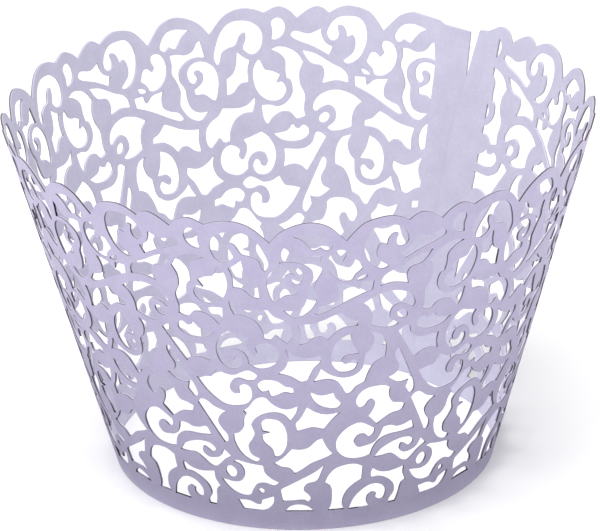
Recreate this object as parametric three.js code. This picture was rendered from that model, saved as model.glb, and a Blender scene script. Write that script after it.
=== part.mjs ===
// Cupcake wrapper: one sheet of thin card, laser-cut with vine scrolls, rolled into an open cone.
// Millimetres and degrees, +Z up, origin at the centre of the circle that it stands on.
// Angles run round the cone from the front, -Y, and grow to the right seen from outside.
import * as THREE from 'three';

// The cone
const topDiameter = 80;
const bottomDiameter = 52.8;
const height = 50.6;
const cardThickness = 0.3;

// The lace: its cell is drawn once and repeated round the sheet
const bandHeight = 3.1;
const repeatAngle = 51.8;
const firstValley = 161.3;

// The two ends of the sheet: plain strips that lap at the back right, open in a small V at the rim
const outerEnd = { rim: 140.5, foot: 135.9 };
const innerEnd = { rim: 498.7, foot: 503.1 };
const laceStart = 148.5;
const laceEnd = 493.6;
const scallopStart = 154;
const scallopEnd = 492.5;
const outerStripTop = 49.4;
const innerStripTop = 50.0;
const lapClearance = 0.3;
const lapEase = 18;

// How finely the curves are cut into facets
const smallestBend = 0.7;
const smallestHole = 1.3;
const footStep = 7.5;

const cardColour = 0xbab2dc;

// The drawn cell: x in degrees from one deep valley of the rim to the next, y in mm above the foot.
// Each line is one outline. A point with a third value is a corner, the others lie on a curve.
const rim = [
  [0, 47.3, 1], [1.4, 48.6], [3.2, 49.8], [7.3, 50.5], [9.6, 50.2], [11.7, 49.4, 1],
  [13, 50.1], [14.4, 50.3], [16.2, 49.8], [18.4, 48.7, 1], [20, 49.8], [22.3, 50.4],
  [25.3, 49.6, 1], [27.5, 50.2], [30.6, 50.4], [33.8, 49.6], [37.2, 47.3, 1],
  [39, 48.8], [41.6, 49.9], [44.8, 50.4], [48, 49.7], [50.2, 48.2], [51.43, 47.3, 1],
];
const cell = { width: rim.at(-1)[0], height: 50.5, band: 3.1 };

// Hooks and teardrops under the scallops of the rim
const rimHoles = [
  [[8.4, 42.7], [7.4, 42.4], [5.6, 42.9], [4.2, 44.1], [3.4, 46], [3.8, 47.8], [5.2, 48.9], [7.5, 49.1],
    [9.8, 48.8], [11.4, 47.7], [12, 46.4], [11.2, 45.6], [9.9, 45.8], [9.5, 46.6], [9.8, 47.6],
    [8.8, 47.7], [8, 47], [7.8, 46.1, 1], [6.5, 46.4], [5.9, 45.5], [6.1, 44.2], [7.2, 43.4]],
  [[13.4, 47.2, 1], [14.6, 46.8], [16, 46.5], [19.2, 46.9], [19.8, 46.3], [18.8, 45.7], [15, 44.7],
    [11.6, 43.5, 1], [10.8, 44.7, 1], [12.4, 45.3], [13.2, 46.3]],
  [[20.9, 47.6], [21.6, 48.6], [22.7, 48.85], [23.8, 48.3], [23.6, 47], [23.9, 45.8, 1], [22.9, 45.8],
    [21.5, 46.4]],
  [[36.1, 42.9], [36.8, 44], [36.2, 45.5], [34.9, 47.3], [33, 48.5], [30.5, 48.8], [28, 48.4],
    [26.3, 47.4], [25.8, 46.1], [26.5, 44.6], [28.3, 43.9], [30.2, 44.9], [29.5, 46.1], [29.5, 47],
    [30.6, 46.8], [31.8, 45.4], [33.4, 45.1], [34.9, 44.5], [35.5, 43.3]],
  [[41.6, 48.3, 1], [43.2, 48.6], [45, 48.8], [46.9, 48.5], [48.2, 47.6], [48.8, 46.6], [47.8, 46],
    [46.6, 46.5, 1], [45.2, 46.1], [44.3, 46.8], [43.2, 47.7]],
];

// Round the coiled tendril on the right, and the kidney and long gaps between stems
const upperHoles = [
  [[39.5, 46.7, 1], [40.3, 46.4], [41.4, 45.4], [43.3, 45], [45.2, 45.3], [46.8, 45.3, 1], [46.6, 44],
    [46.9, 42.9], [46, 41.5], [45.4, 40.1], [45.9, 38.3], [44.8, 36.8], [43, 35.8], [41.2, 35.6],
    [39.2, 36.7, 1], [41.4, 36.7], [43.2, 37.3], [44, 38.8], [44.1, 40.1], [45.2, 41.5], [45.1, 42.8],
    [43.5, 43.9], [41, 44.4], [38.8, 44.2, 1]],
  [[37.3, 38.1], [36.5, 39.4], [36.2, 41], [36.8, 42.4], [38.3, 43.4], [40.5, 43.8], [42.4, 43.4],
    [43.3, 42.4], [43, 41.3], [41.9, 40.8], [41.1, 41.4], [41.7, 42.3], [40.8, 42.6], [39.7, 42],
    [39.9, 41], [41.2, 40.3], [42.1, 40, 1], [41.9, 39.3], [39.8, 39.1], [38.1, 38.2, 1]],
  [[31.6, 44.4, 1], [30.2, 43.6], [28.9, 43.1, 1], [29.5, 41.8], [29.5, 40.1, 1], [31.4, 39.9],
    [33, 38.8], [34.6, 38.5, 1], [34.4, 40.8, 1], [32.8, 41.5], [32, 42.6]],
  [[26.9, 43.1], [27.9, 42.4], [28.4, 41], [28, 39.3], [26.7, 37.9], [24.4, 37.2], [22.2, 37.5],
    [21.1, 38.6], [21.9, 39.8], [23.3, 39.7, 1], [22.3, 40.8, 1], [24, 41.4], [25.7, 41.7], [26.4, 42.6]],
  [[24.3, 44.4, 1], [22.6, 44.8], [20.3, 44.5], [18.4, 43.7], [17.2, 42.5, 1], [18.1, 41.1], [18, 39.5],
    [16.9, 37.9], [17.2, 36], [16.9, 34.9, 1], [18.9, 34.6], [20.3, 35.5], [22.4, 35.6], [24.4, 34.9],
    [25.7, 34], [26.5, 34.9], [26.8, 36.7, 1], [25, 36.7], [23, 36.4], [20.8, 37.1], [19.6, 38.4],
    [20, 40], [20.9, 40.3, 1], [21.1, 41.4], [21.1, 42.8], [22.3, 43.8]],
  [[17.4, 44.2, 1], [14.5, 43.7], [11, 42.4], [8.2, 41.5], [7.3, 40.7], [7.1, 39.7, 1], [9.8, 40],
    [13, 39.5, 1], [12.5, 40.8], [13, 41.9], [15.2, 42.3], [16.3, 42.9]],
  [[2.2, 41.1], [3, 41.6], [4.4, 41.8], [4, 41.2], [2.9, 41]],
  [[-1.3, 46], [-0.2, 45.8], [0, 45.1], [-0.5, 44.2], [0.2, 43.7], [1.1, 44.2], [2.2, 44.2],
    [3.3, 42.8, 1], [1.9, 41.9], [1.4, 41.2], [0, 41], [-1.9, 41.6], [-3.3, 42.9], [-3.5, 44.3],
    [-2.7, 45.5]],
  [[-1.9, 40.7, 1], [-1.2, 39.6], [-1.3, 38.3], [-3, 37.6], [-4.8, 37.2], [-6, 36.2, 1], [-5.2, 36],
    [-2, 36.9], [0.5, 37.8], [3, 38.6], [5.6, 39.3, 1], [5.8, 40.7, 1], [3.3, 40.7, 1], [2.9, 39.6],
    [2.1, 39.9], [1.2, 40.4]],
];

// Domes, coils and star-shaped gaps half way up
const middleHoles = [
  [[3.8, 37.2, 1], [6, 38.1], [9.6, 38.7], [12.4, 38.3], [14.3, 37.4], [15.1, 36.1], [14.6, 35.6],
    [13, 36.2], [11.4, 36.5], [10, 35.8], [9.8, 34.5], [11, 33.7], [11.9, 33.3, 1], [10.9, 32.9],
    [8.6, 33], [6, 33.6, 1], [6, 35], [5.2, 36.4]],
  [[11.3, 35.2], [12.3, 35.5], [13.5, 34.9], [13.6, 34.2], [12.6, 34], [11.5, 34.5]],
  [[16.2, 33.2], [17.3, 33.7], [18.4, 33.2, 1], [19.2, 33.3, 1], [19.8, 33.8], [21, 33], [22.8, 32.7],
    [24.5, 32.6, 1], [22.6, 31.7], [19.5, 31.4], [17.1, 31.8], [16.1, 32.5]],
  [[12, 32, 1], [13.2, 32.6], [14.4, 32.6], [15.2, 31.3], [17.2, 30.4], [22, 30.4, 1], [21.9, 29.1],
    [22.4, 27.8, 1], [20, 28.2], [18, 27.9], [16.7, 27.2, 1], [15.6, 28.2]],
  [[1.7, 32.6, 1], [0, 32.1], [-1.6, 31.1], [-2.4, 29.5], [-2.1, 27.7], [-0.8, 26.6], [1.2, 26.4],
    [2.9, 26.8], [3.4, 27.8], [2.6, 28.4], [1.7, 28], [0.6, 27.7], [-0.1, 28.3], [0.7, 29.1],
    [2.4, 29.2], [3.6, 29.2, 1], [2.5, 30.4], [1.9, 31.6]],
  [[6, 32.5, 1], [8.3, 31.9], [9.6, 30.2], [9.7, 28.2, 1], [7.6, 27.6], [6.2, 26.2], [5.3, 24.4, 1],
    [3.4, 23.8], [2.4, 23], [1.3, 22.8], [0.4, 23.7], [-0.8, 24.8], [-2.8, 25.4], [-6.3, 25.1, 1],
    [-5.3, 26.1], [-4.6, 27.2, 1], [-3.2, 26.4], [-1.4, 25.8], [0.6, 25.5], [3, 25.8], [4.6, 26.8],
    [5, 29, 1], [6.3, 29.9], [6.8, 31.3]],
  [[12.6, 29.2], [13.8, 27.9], [15.8, 25.3], [17.6, 22.9], [17.8, 21.8], [17, 21.3], [15.5, 22.5, 1],
    [16, 23.6, 1], [13.6, 23.5], [10.8, 24.6, 1], [12.8, 25.3], [13.2, 26.3], [12.1, 27.7], [11.9, 28.7]],
  [[27.3, 33, 1], [25.7, 32.2], [24.4, 30.8], [24.1, 29.4], [24.7, 28], [26, 27.1], [27.7, 26.9],
    [29.2, 27.3], [29.8, 28.3], [29.2, 29.1], [28.3, 29], [27.8, 28.3], [26.6, 28.2], [26.1, 29],
    [26.7, 29.9], [28.4, 30.2], [30, 29.8], [30.9, 28.9], [31.1, 27.9, 1], [33, 27.2], [35.4, 27.4],
    [37.2, 28.2], [37.8, 29.5], [37.1, 30.8], [35.4, 31.5], [33.6, 31.2], [32.8, 30.6], [33.1, 29.7],
    [32.2, 29.3], [31.2, 30.3], [31, 31.2], [31.6, 32.1, 1], [29.5, 32.5]],
  [[28.3, 37.9, 1], [29.9, 37], [32, 36.6], [36, 36.8, 1], [37.2, 35.8], [39.2, 35.1], [40.6, 33.9],
    [40.7, 32.4], [39.8, 31.5], [38.6, 32], [37.3, 32.7], [36.4, 32], [34.9, 32.1, 1], [34.6, 33.4],
    [33.3, 34.9], [31.2, 35.7], [29, 35.8, 1], [28.4, 36.9]],
  [[-9.4, 34.4, 1], [-8.9, 33], [-9.1, 31.2, 1], [-7.6, 31.5], [-6, 32.3], [-4.4, 32.4],
    [-3.2, 31.8, 1], [-1.9, 32.8], [0, 33.6], [3, 33.8, 1], [2.9, 34.5], [1.2, 35], [-0.6, 36.1, 1],
    [-2.2, 35.7], [-4, 35.1], [-6.6, 34.6]],
  [[39.2, 30.5, 1], [41.6, 29.4], [44, 29], [46.6, 29.4, 1], [46.8, 28.5], [45.2, 27.2], [43.8, 25.3, 1],
    [42.4, 25.1], [40.2, 26], [37.4, 26.5, 1], [39.1, 27.5], [39.8, 29]],
];

// Shields, boats and commas in the lower half
const lowerHoles = [
  [[18.3, 24.8, 1], [20.4, 25.1], [22.2, 25.3], [23.6, 26.6, 1], [25.4, 26], [27.6, 25.9], [29.4, 26.5],
    [31, 26.8], [32.7, 26], [31.9, 25.2, 1], [30.4, 25.1], [28.4, 25.4], [26.7, 24.8], [26.1, 23.7],
    [26.8, 22.9], [28.2, 22.9, 1], [28.3, 23.9], [29.6, 24.5], [30.9, 24], [31.1, 22.6], [29.8, 21.3],
    [27.5, 20.8], [24.6, 20.8], [22.2, 21.7], [20, 23.1]],
  [[32.5, 24.3], [33.6, 25.2], [35.6, 25.4], [37.4, 25.1], [38.8, 24.4], [40.5, 24.1], [40.6, 23.3],
    [38.6, 23.4], [36.9, 22.9], [35.5, 22.7], [35, 23.6, 1], [33.4, 23.4]],
  [[28.6, 20, 1], [30, 20.7], [31.5, 21.9], [32.7, 22.4], [34.2, 22.4], [35.5, 21.5], [37.3, 20.8],
    [39.2, 20.6], [41.5, 21.1, 1], [41, 19.9], [39.7, 18.6, 1], [38.3, 19.6], [36.3, 20], [33.6, 19.7],
    [31.3, 18.8], [30.2, 17.8], [30.8, 16.4], [30, 15.3], [28.9, 14.2], [29.3, 12.9], [31.5, 12.1, 1],
    [30.8, 11.5], [28.6, 11.9], [26.6, 13], [25.5, 14.6], [25.4, 15.9, 1], [27.2, 16.4], [28.2, 17.3],
    [28.5, 18.5], [29.3, 19.5, 1]],
  [[32.6, 18], [33.6, 18.8], [35.2, 18.9], [37, 18.6], [38.3, 17.5], [38.7, 15.8], [38.2, 14],
    [36.9, 12.8], [35.4, 12.5, 1], [34.8, 13.8], [32.8, 15.1], [32.6, 16.2, 1], [34.5, 16.6, 1],
    [32.8, 16.8, 1]],
  [[43.6, 20.9, 1], [45.5, 20.1], [48, 19.6], [51.5, 19.8, 1], [49.9, 18.9], [48.6, 17.9],
    [47.6, 17.1, 1], [45, 17.5], [42.8, 17.2], [41.2, 16.9, 1], [40.9, 18.1], [42.2, 19.2]],
  [[44.4, 23.4, 1], [46.8, 22.8], [49.7, 23.1, 1], [50.1, 22.3], [51.5, 21.2], [50.9, 20.6],
    [48.6, 20.6], [46.4, 21.2], [45, 22.2]],
  [[47.2, 15.6, 1], [48.3, 14.1], [50, 12.8, 1], [47.9, 12.2], [44.6, 11.4], [42.2, 10.4],
    [40.3, 9.7, 1], [38.9, 10.6], [36.8, 10.8], [35, 11.4, 1], [37.4, 12.4], [39.7, 13.9, 1],
    [42, 13.8], [44, 14.2], [45.9, 15.3]],
  [[5.2, 17.7], [3.2, 17.5], [0.8, 16.5], [-0.7, 15], [-0.5, 13.5], [0.9, 12.4], [3, 11.8], [6, 11.7],
    [8.2, 12, 1], [8.8, 13.2], [10.2, 14.3], [12.4, 14.9], [16, 15], [19.5, 15.2, 1], [18.6, 16.5],
    [16.6, 16.2], [14.6, 16.1], [12.8, 16.5], [11, 16.4, 1], [10.2, 15], [9, 14.1], [6.8, 13.7],
    [4.6, 13.7], [3.7, 14.6], [4.7, 15.6], [6.3, 15.7], [7.6, 15.1], [8.7, 15.7], [8.8, 16.4, 1],
    [6.8, 17.2]],
  [[3.6, 21.4], [4.4, 22.6], [6, 23.3], [8.4, 23.5], [10.6, 23.3], [11.7, 22.8, 1], [11.6, 21.8],
    [12.6, 20.4], [14.4, 20.1], [16, 19.7, 1], [15.4, 18.8], [12.6, 18.4], [10.6, 17.7], [9.3, 17.1, 1],
    [6.9, 18.6, 1], [8, 19.8], [8.3, 20.8], [7.4, 21.4], [6.6, 21.2], [5.9, 20.5], [4.6, 20.2]],
  [[17.4, 20.5, 1], [18.3, 21.1], [19.6, 21.1], [21.6, 20.2], [24.4, 19.6, 1], [22.6, 18.8],
    [21.9, 17.8], [22.6, 16.7], [23.9, 15.6], [23.7, 14.5], [22.8, 14.3, 1], [20, 17.5]],
  [[9.3, 11.5, 1], [11, 12.7], [13.5, 13.5], [16.4, 13.9], [18.8, 13.7], [20, 12.9], [19, 12.3],
    [17.6, 12.8], [16.5, 13], [16.2, 12.1], [17.4, 11.4], [19.4, 11.4], [21.2, 11.9], [22.2, 13.1, 1],
    [24, 12, 1], [22, 11.3], [20.2, 10.3], [19, 9.8], [17.4, 10.1], [15.6, 11], [14, 11.6], [11.4, 11.5]],
];

// Standing on the plain band
const footHoles = [
  [[47.9, 11.1, 1], [45.6, 10], [42, 8.8], [38.6, 7.7], [36.4, 6.9], [36.3, 6.4], [36.7, 4.9, 1],
    [39, 5], [42.6, 5.1], [43.5, 4.8], [44.3, 5.3], [43.8, 6], [42.4, 6.9], [43.2, 7.8], [46, 8.4],
    [47, 9.7]],
  [[37.1, 3.2, 1], [38.7, 4.1], [41.2, 4.4], [43.6, 4], [45.1, 3.2, 1]],
  [[24.1, 4.7, 1], [27.6, 4.7], [29.5, 4.2], [30.5, 4.2, 1], [31, 5, 1], [34.3, 5.7, 1], [34.1, 4.6],
    [32.6, 3.5], [30.8, 3.1, 1], [25.4, 3.1, 1]],
  [[30.3, 6.6], [30.9, 7], [31.8, 6.8], [31.9, 6.4], [31.1, 6.1]],
  [[21.85, 9.4], [22.6, 10.25], [23.9, 10.35], [24.95, 9.5], [24.2, 8.55], [22.7, 8.5]],
  [[24.3, 11.2, 1], [25.2, 11.5], [28, 11.2], [32.1, 10.9, 1], [32.3, 9.9], [33.9, 8.8], [36.1, 8.1, 1],
    [34.6, 7.5], [32.2, 7.9], [30, 7.6], [28.8, 6.7], [27.9, 5.7], [25.6, 5.5], [23, 6.1],
    [21.2, 7.1], [20.2, 8, 1], [21.6, 7.9], [24, 7.7], [26.2, 8.2], [27, 9.4], [26.3, 10.6]],
  [[-3.4, 8, 1], [-2.4, 9.3], [-0.8, 10.3], [1.8, 10.8], [4.4, 10.8], [6.6, 10.2, 1], [6.5, 8, 1],
    [4.4, 7.3], [2.6, 6.3], [1.6, 5], [1.5, 3.9], [2, 3.2, 1], [-2.5, 3.2, 1], [-1.7, 4], [-1.4, 5.6],
    [-1.7, 7.2]],
  [[3.3, 3.1, 1], [4.6, 4.9], [6.6, 6.1], [8.6, 6.8], [10.6, 6.9], [12.5, 6.4], [13.8, 5.3],
    [13.4, 4.2], [12.2, 4], [10.9, 4.6], [11.1, 5.2, 1], [9.8, 5.5], [8.5, 4.9], [8.4, 4],
    [9.2, 3.1, 1]],
  [[9.3, 9.6, 1], [11.2, 8.9], [14, 8.6], [18.4, 9, 1], [18.4, 7.8], [19.5, 6.5, 1], [18.3, 6],
    [17.8, 4.4], [17.2, 3.1, 1], [15.1, 3.1, 1], [15, 3.7], [16.3, 4.9], [15.9, 6.2], [14, 7.3],
    [11.4, 8], [9.2, 8, 1], [8.9, 8.9]],
];

const radians = Math.PI / 180;
const topRadius = topDiameter / 2;
const bottomRadius = bottomDiameter / 2;
const slope = (topRadius - bottomRadius) / height;
const sinHalfAngle = slope / Math.hypot(1, slope);
const radiusAt = (z) => bottomRadius + slope * z;

// From the drawn cell to the sheet: the angle round the cone and the height above the foot
function onSheet([x, y], turn) {
  const angle = firstValley + (turn + x / cell.width) * repeatAngle;
  const lace = (y - cell.band) / (cell.height - cell.band);
  return new THREE.Vector2(angle, bandHeight + lace * (height - bandHeight));
}

// The sheet unrolled flat, as it is cut: a sector of a ring round the cone's apex
function flat(point) {
  const reach = radiusAt(point.y) / sinHalfAngle;
  const swing = (point.x - (laceStart + laceEnd) / 2) * radians * sinHalfAngle;
  return new THREE.Vector2(reach * Math.sin(swing), reach * Math.cos(swing));
}

// The two points of the standing wrapper, on the card's outer and inner face, above one sheet point
function onCone(point, side) {
  const ease = THREE.MathUtils.smoothstep(point.x, laceEnd - lapEase, laceEnd);
  const radius = radiusAt(point.y) - ease * (cardThickness + lapClearance);
  const reach = radius + side * cardThickness / 2 * Math.hypot(1, slope);
  const turn = point.x * radians;
  return new THREE.Vector3(reach * Math.sin(turn), -reach * Math.cos(turn), point.y);
}

// A smooth stretch through its points, without its last point
function stretch(points, closed = false) {
  if (points.length < 3) return points.slice(0, -1);
  const curve = new THREE.CatmullRomCurve3(points.map((p) => new THREE.Vector3(p.x, p.y, 0)), closed);
  return curve.getPoints(points.length * 4).slice(0, -1).map((p) => new THREE.Vector2(p.x, p.y));
}

// Leaves out the points that bend the line least: those whose triangle with their neighbours is small
function thin(points, closed) {
  const kept = points.map((p) => ({ point: p, spot: flat(p) }));
  const worth = (i) => {
    if (!closed && (i === 0 || i === kept.length - 1)) return Infinity;
    const corner = [kept.at(i - 1), kept[i], kept[(i + 1) % kept.length]];
    return Math.abs(THREE.ShapeUtils.area(corner.map((entry) => entry.spot)));
  };
  while (kept.length > 4) {
    const worths = kept.map((_, i) => worth(i));
    const least = Math.min(...worths);
    if (least > smallestBend) break;
    kept.splice(worths.indexOf(least), 1);
  }
  return kept.map((entry) => entry.point);
}

// A closed outline from its drawn points: curves between corners
function outline(drawn, turn) {
  const points = drawn.map((p) => onSheet(p, turn));
  const corners = drawn.map((p, i) => (p[2] ? i : -1)).filter((i) => i >= 0);
  if (corners.length === 0) return thin(stretch(points, true), true);
  const loop = corners.flatMap((corner, i) => {
    const next = corners[(i + 1) % corners.length];
    const count = (next - corner + points.length) % points.length || points.length;
    return stretch(Array.from({ length: count + 1 }, (_, j) => points[(corner + j) % points.length]));
  });
  return thin(loop, true);
}

// Cuts an outline along one generator line of the cone and keeps the pieces on one side
function cutAt(loop, angle, keep) {
  const inside = (p) => keep * (p.x - angle) > 0;
  if (loop.every(inside)) return [loop];
  if (!loop.some(inside)) return [];
  const from = loop.findIndex((p, i) => !inside(p) && inside(loop[(i + 1) % loop.length]));
  const pieces = [];
  let piece = null;
  for (let i = 0; i < loop.length; i += 1) {
    const a = loop[(from + i) % loop.length];
    const b = loop[(from + i + 1) % loop.length];
    const crossing = () => a.clone().lerp(b, (angle - a.x) / (b.x - a.x)).setX(angle);
    if (!inside(a) && inside(b)) piece = [crossing()];
    if (inside(b) && piece) piece.push(b);
    if (inside(a) && !inside(b)) pieces.push([...piece, crossing()]);
  }
  return close(pieces);
}

// Closes the pieces along the line: sorted by height, its crossings enclose the hole two by two
function close(pieces) {
  const ends = pieces.flatMap((piece) => [piece[0], piece[piece.length - 1]]);
  ends.sort((a, b) => a.y - b.y);
  const open = new Set(pieces);
  const loops = [];
  while (open.size > 0) {
    const loop = [];
    let [piece] = open;
    while (open.delete(piece)) {
      loop.push(...piece);
      const mate = ends[ends.indexOf(piece[piece.length - 1]) ^ 1];
      piece = pieces.find((other) => other[0] === mate);
    }
    loops.push(loop);
  }
  return loops;
}

const area = (loop) => Math.abs(THREE.ShapeUtils.area(loop.map(flat)));

function holes() {
  const drawn = [...rimHoles, ...upperHoles, ...middleHoles, ...lowerHoles, ...footHoles];
  const first = Math.floor((laceStart - firstValley) / repeatAngle) - 1;
  const last = Math.ceil((laceEnd - firstValley) / repeatAngle) + 1;
  const loops = [];
  for (let turn = first; turn <= last; turn += 1) {
    drawn.forEach((hole) => {
      cutAt(outline(hole, turn), laceStart, 1)
        .flatMap((loop) => cutAt(loop, laceEnd, -1))
        .filter((loop) => area(loop) > smallestHole)
        .forEach((loop) => loops.push(loop));
    });
  }
  return loops;
}

// The top edge from the inner end back to the outer end: scallops between two plain strips
function topEdge() {
  const first = Math.floor((scallopStart - firstValley) / repeatAngle);
  const last = Math.floor((scallopEnd - firstValley) / repeatAngle);
  const turns = Array.from({ length: last - first + 1 }, (_, i) => first + i);
  const corners = rim.map((p, i) => (p[2] ? i : -1)).filter((i) => i >= 0);
  const scallops = turns.flatMap((turn) => corners.slice(0, -1).flatMap((corner, i) => (
    stretch(rim.slice(corner, corners[i + 1] + 1).map((p) => onSheet(p, turn))))));
  const shown = scallops.filter((p) => p.x > scallopStart && p.x < scallopEnd);
  const ends = [new THREE.Vector2(outerEnd.rim, outerStripTop), new THREE.Vector2(innerEnd.rim, innerStripTop)];
  return thin([ends[0], ...shown, ends[1]], false).reverse();
}

function footEdge() {
  const count = Math.round((innerEnd.foot - outerEnd.foot) / footStep);
  return Array.from({ length: count + 1 }, (_, i) => (
    new THREE.Vector2(THREE.MathUtils.lerp(outerEnd.foot, innerEnd.foot, i / count), 0)));
}

// Swaps the diagonal of two neighbouring triangles wherever that makes them less slender
function fatten(faces, spots) {
  const key = (a, b) => (a < b ? `${a} ${b}` : `${b} ${a}`);
  const angleAt = (c, a, b) => {
    const u = spots[a].clone().sub(spots[c]);
    const v = spots[b].clone().sub(spots[c]);
    return Math.acos(THREE.MathUtils.clamp(u.dot(v) / u.length() / v.length(), -1, 1));
  };
  for (let pass = 0; pass < 40; pass += 1) {
    const owners = new Map();
    faces.forEach((face, f) => face.forEach((a, i) => {
      const edge = key(a, face[(i + 1) % 3]);
      owners.set(edge, [...(owners.get(edge) ?? []), f]);
    }));
    const busy = new Set();
    let swaps = 0;
    owners.forEach(([f, g]) => {
      if (g === undefined || busy.has(f) || busy.has(g)) return;
      const c = faces[f].find((v) => !faces[g].includes(v));
      const d = faces[g].find((v) => !faces[f].includes(v));
      const at = faces[f].indexOf(c);
      const a = faces[f][(at + 1) % 3];
      const b = faces[f][(at + 2) % 3];
      if (angleAt(c, a, b) + angleAt(d, a, b) <= Math.PI + 1e-6) return;
      if (THREE.ShapeUtils.area([spots[c], spots[a], spots[d]]) < 1e-6) return;
      if (THREE.ShapeUtils.area([spots[c], spots[d], spots[b]]) < 1e-6) return;
      faces[f] = [c, a, d];
      faces[g] = [c, d, b];
      busy.add(f);
      busy.add(g);
      swaps += 1;
    });
    if (swaps === 0) return;
  }
}

// The rolled sheet as one closed body: outer face, inner face and the cut edges between them
function rolledSheet() {
  const edge = [...footEdge(), ...topEdge()];
  const cuts = holes().map((loop) => (THREE.ShapeUtils.isClockWise(loop.map(flat)) ? loop : loop.reverse()));
  const points = [edge, ...cuts].flat();
  const spots = points.map(flat);
  const faces = THREE.ShapeUtils.triangulateShape(edge.map(flat), cuts.map((loop) => loop.map(flat)));
  fatten(faces, spots);
  const count = points.length;
  const positions = [1, -1].flatMap((side) => points.flatMap((p) => onCone(p, side).toArray()));
  const index = faces.flatMap(([a, b, c]) => [a, b, c, a + count, c + count, b + count]);
  let start = 0;
  [edge, ...cuts].forEach((loop) => {
    loop.forEach((_, i) => {
      const a = start + i;
      const b = start + ((i + 1) % loop.length);
      index.push(a, a + count, b, b, a + count, b + count);
    });
    start += loop.length;
  });
  const geometry = new THREE.BufferGeometry();
  geometry.setAttribute('position', new THREE.Float32BufferAttribute(positions, 3));
  geometry.setIndex(index);
  geometry.computeVertexNormals();
  return geometry;
}

const card = new THREE.MeshStandardMaterial({ color: cardColour, roughness: 0.6, metalness: 0, flatShading: true });
const wrapper = new THREE.Mesh(rolledSheet(), card);
wrapper.name = 'lace_wrapper';

const cupcakeWrapper = new THREE.Group();
cupcakeWrapper.add(wrapper);
export default cupcakeWrapper;
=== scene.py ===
# Cupcake wrapper: a rolled sheet of lilac pearl card, laser-cut with vine scrolls.
# Metres in Blender; the sheet is drawn in millimetres and degrees.
# Angles run round the cone from the front, -Y, and grow to the right seen from outside.
import math

import bmesh
import bpy
from mathutils import Matrix, Vector
from mathutils.geometry import delaunay_2d_cdt


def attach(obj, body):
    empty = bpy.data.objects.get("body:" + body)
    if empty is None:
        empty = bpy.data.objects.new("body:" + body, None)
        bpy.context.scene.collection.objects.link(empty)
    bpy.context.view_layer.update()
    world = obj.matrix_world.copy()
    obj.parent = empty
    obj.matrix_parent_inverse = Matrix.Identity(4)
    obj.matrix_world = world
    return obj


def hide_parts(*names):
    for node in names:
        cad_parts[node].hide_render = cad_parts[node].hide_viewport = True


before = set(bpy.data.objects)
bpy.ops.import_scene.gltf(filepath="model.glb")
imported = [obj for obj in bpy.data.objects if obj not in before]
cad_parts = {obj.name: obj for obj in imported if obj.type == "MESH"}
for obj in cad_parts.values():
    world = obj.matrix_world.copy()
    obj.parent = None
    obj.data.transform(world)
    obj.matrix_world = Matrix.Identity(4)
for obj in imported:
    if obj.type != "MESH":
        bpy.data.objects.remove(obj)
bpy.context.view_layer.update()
MM = 0.001

# The cone
TOP_RADIUS = 40.0
BOTTOM_RADIUS = 26.4
HEIGHT = 50.6
CARD_THICKNESS = 0.3

# The lace
BAND_HEIGHT = 3.1
REPEAT_ANGLE = 51.8
FIRST_VALLEY = 161.3

# The two ends of the sheet, lapped at the back right
OUTER_EDGE = [(135.9, 0), (141.0, 49.3)]
INNER_EDGE = [(503.1, 0), (502.3, 18), (501.7, 31), (501.1, 37.1), (499.7, 42.9), (498.1, 50.1)]
LACE_START = 148.5
LACE_END = 492.5
SCALLOP_START = 154.0
SCALLOP_END = 489.0
OUTER_STRIP_TOP = [(147.5, 49.5), (148.7, 49.95)]
INNER_STRIP_TOP = [(490.2, 51.0), (491.6, 51.4), (493.3, 51.3), (494.9, 50.7), (496.2, 50.2)]
LAP_CLEARANCE = 0.3
LAP_EASE = 18.0

# Towards the inner end the lace has crept back, in degrees, and its rim stands higher, in mm
CREEP = -1.7
CREEP_FROM = 430.0
CREEP_TO = 486.0
LIFT = 1.0

# Extra points on the plain strips and along the straight edges, so that they roll smoothly
STRIP_ANGLES = (142.5, 144.5, 146.5, 493.8, 495.6, 497.2)
STRIP_HEIGHTS = range(4, 48, 4)
FOOT_STEP = 1.5
END_STEP = 3.0

# Steps along a drawn curve from one of its points to the next
CURVE_STEPS = 4

# A hole's cut is scorched where it turns by more than this, in radians, and fully so after the range
SCORCH_START = 0.6
SCORCH_RANGE = 0.9
# The scorch value of the sheet's own outline, which has its own brown tone
RIM_MARK = -1

# A cut edge is a face whose normal has less than this share along the card's own
CUT_FACE = 0.7
# Edges sharper than this, in degrees, are shaded sharp
SHARP_EDGE = 40.0

# Tones of the card's outer and inner face, and of its cut edges. The inner face's tones are painted
# lighter and less blue than the outer face's: painted light standing in for the light that fills the
# inside of the wrapper
CARD_LIGHT = (0.54, 0.5, 0.69)
CARD_SHADE = (0.495, 0.455, 0.645)
PAINTED_LIT_INSIDE_LIGHT = (0.565, 0.55, 0.675)
PAINTED_LIT_INSIDE_SHADE = (0.52, 0.505, 0.63)
EDGE_CORE = (0.62, 0.59, 0.72)
EDGE_BURN = (0.075, 0.055, 0.085)
RIM_BROWN = (0.07, 0.045, 0.055)
EDGE_CHAR = (0.02, 0.014, 0.02)

# The studio, in metres and watts
WORLD_LIGHT = 0.73
KEY_PLACE = (-0.2, -0.2, 1.0)
KEY_SIZE = 1.1
KEY_POWER = 9.2
FILL_PLACE = (1.05, -0.6, 0.3)
FILL_SIZE = 0.8
FILL_POWER = 2.1
LAMP_AIM = Vector((0, 0, 0.025))

# The floor: evenly white to the camera; to all other rays a duller white, with a painted shadow in a dark
# ring round the foot that darkens the wrapper's lower front
FLOOR_REACH = 4
FLOOR_DROP = 0.00005
FLOOR_TONE = (0.95, 0.95, 0.95)
FLOOR_BOUNCE = (0.87, 0.87, 0.87)
FLOOR_PAINTED_SHADOW = (0.27, 0.27, 0.27)
FLOOR_SHADOW_RING = (0.045, 0.082)
FLOOR_INSIDE = (0.026, 0.029)

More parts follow.
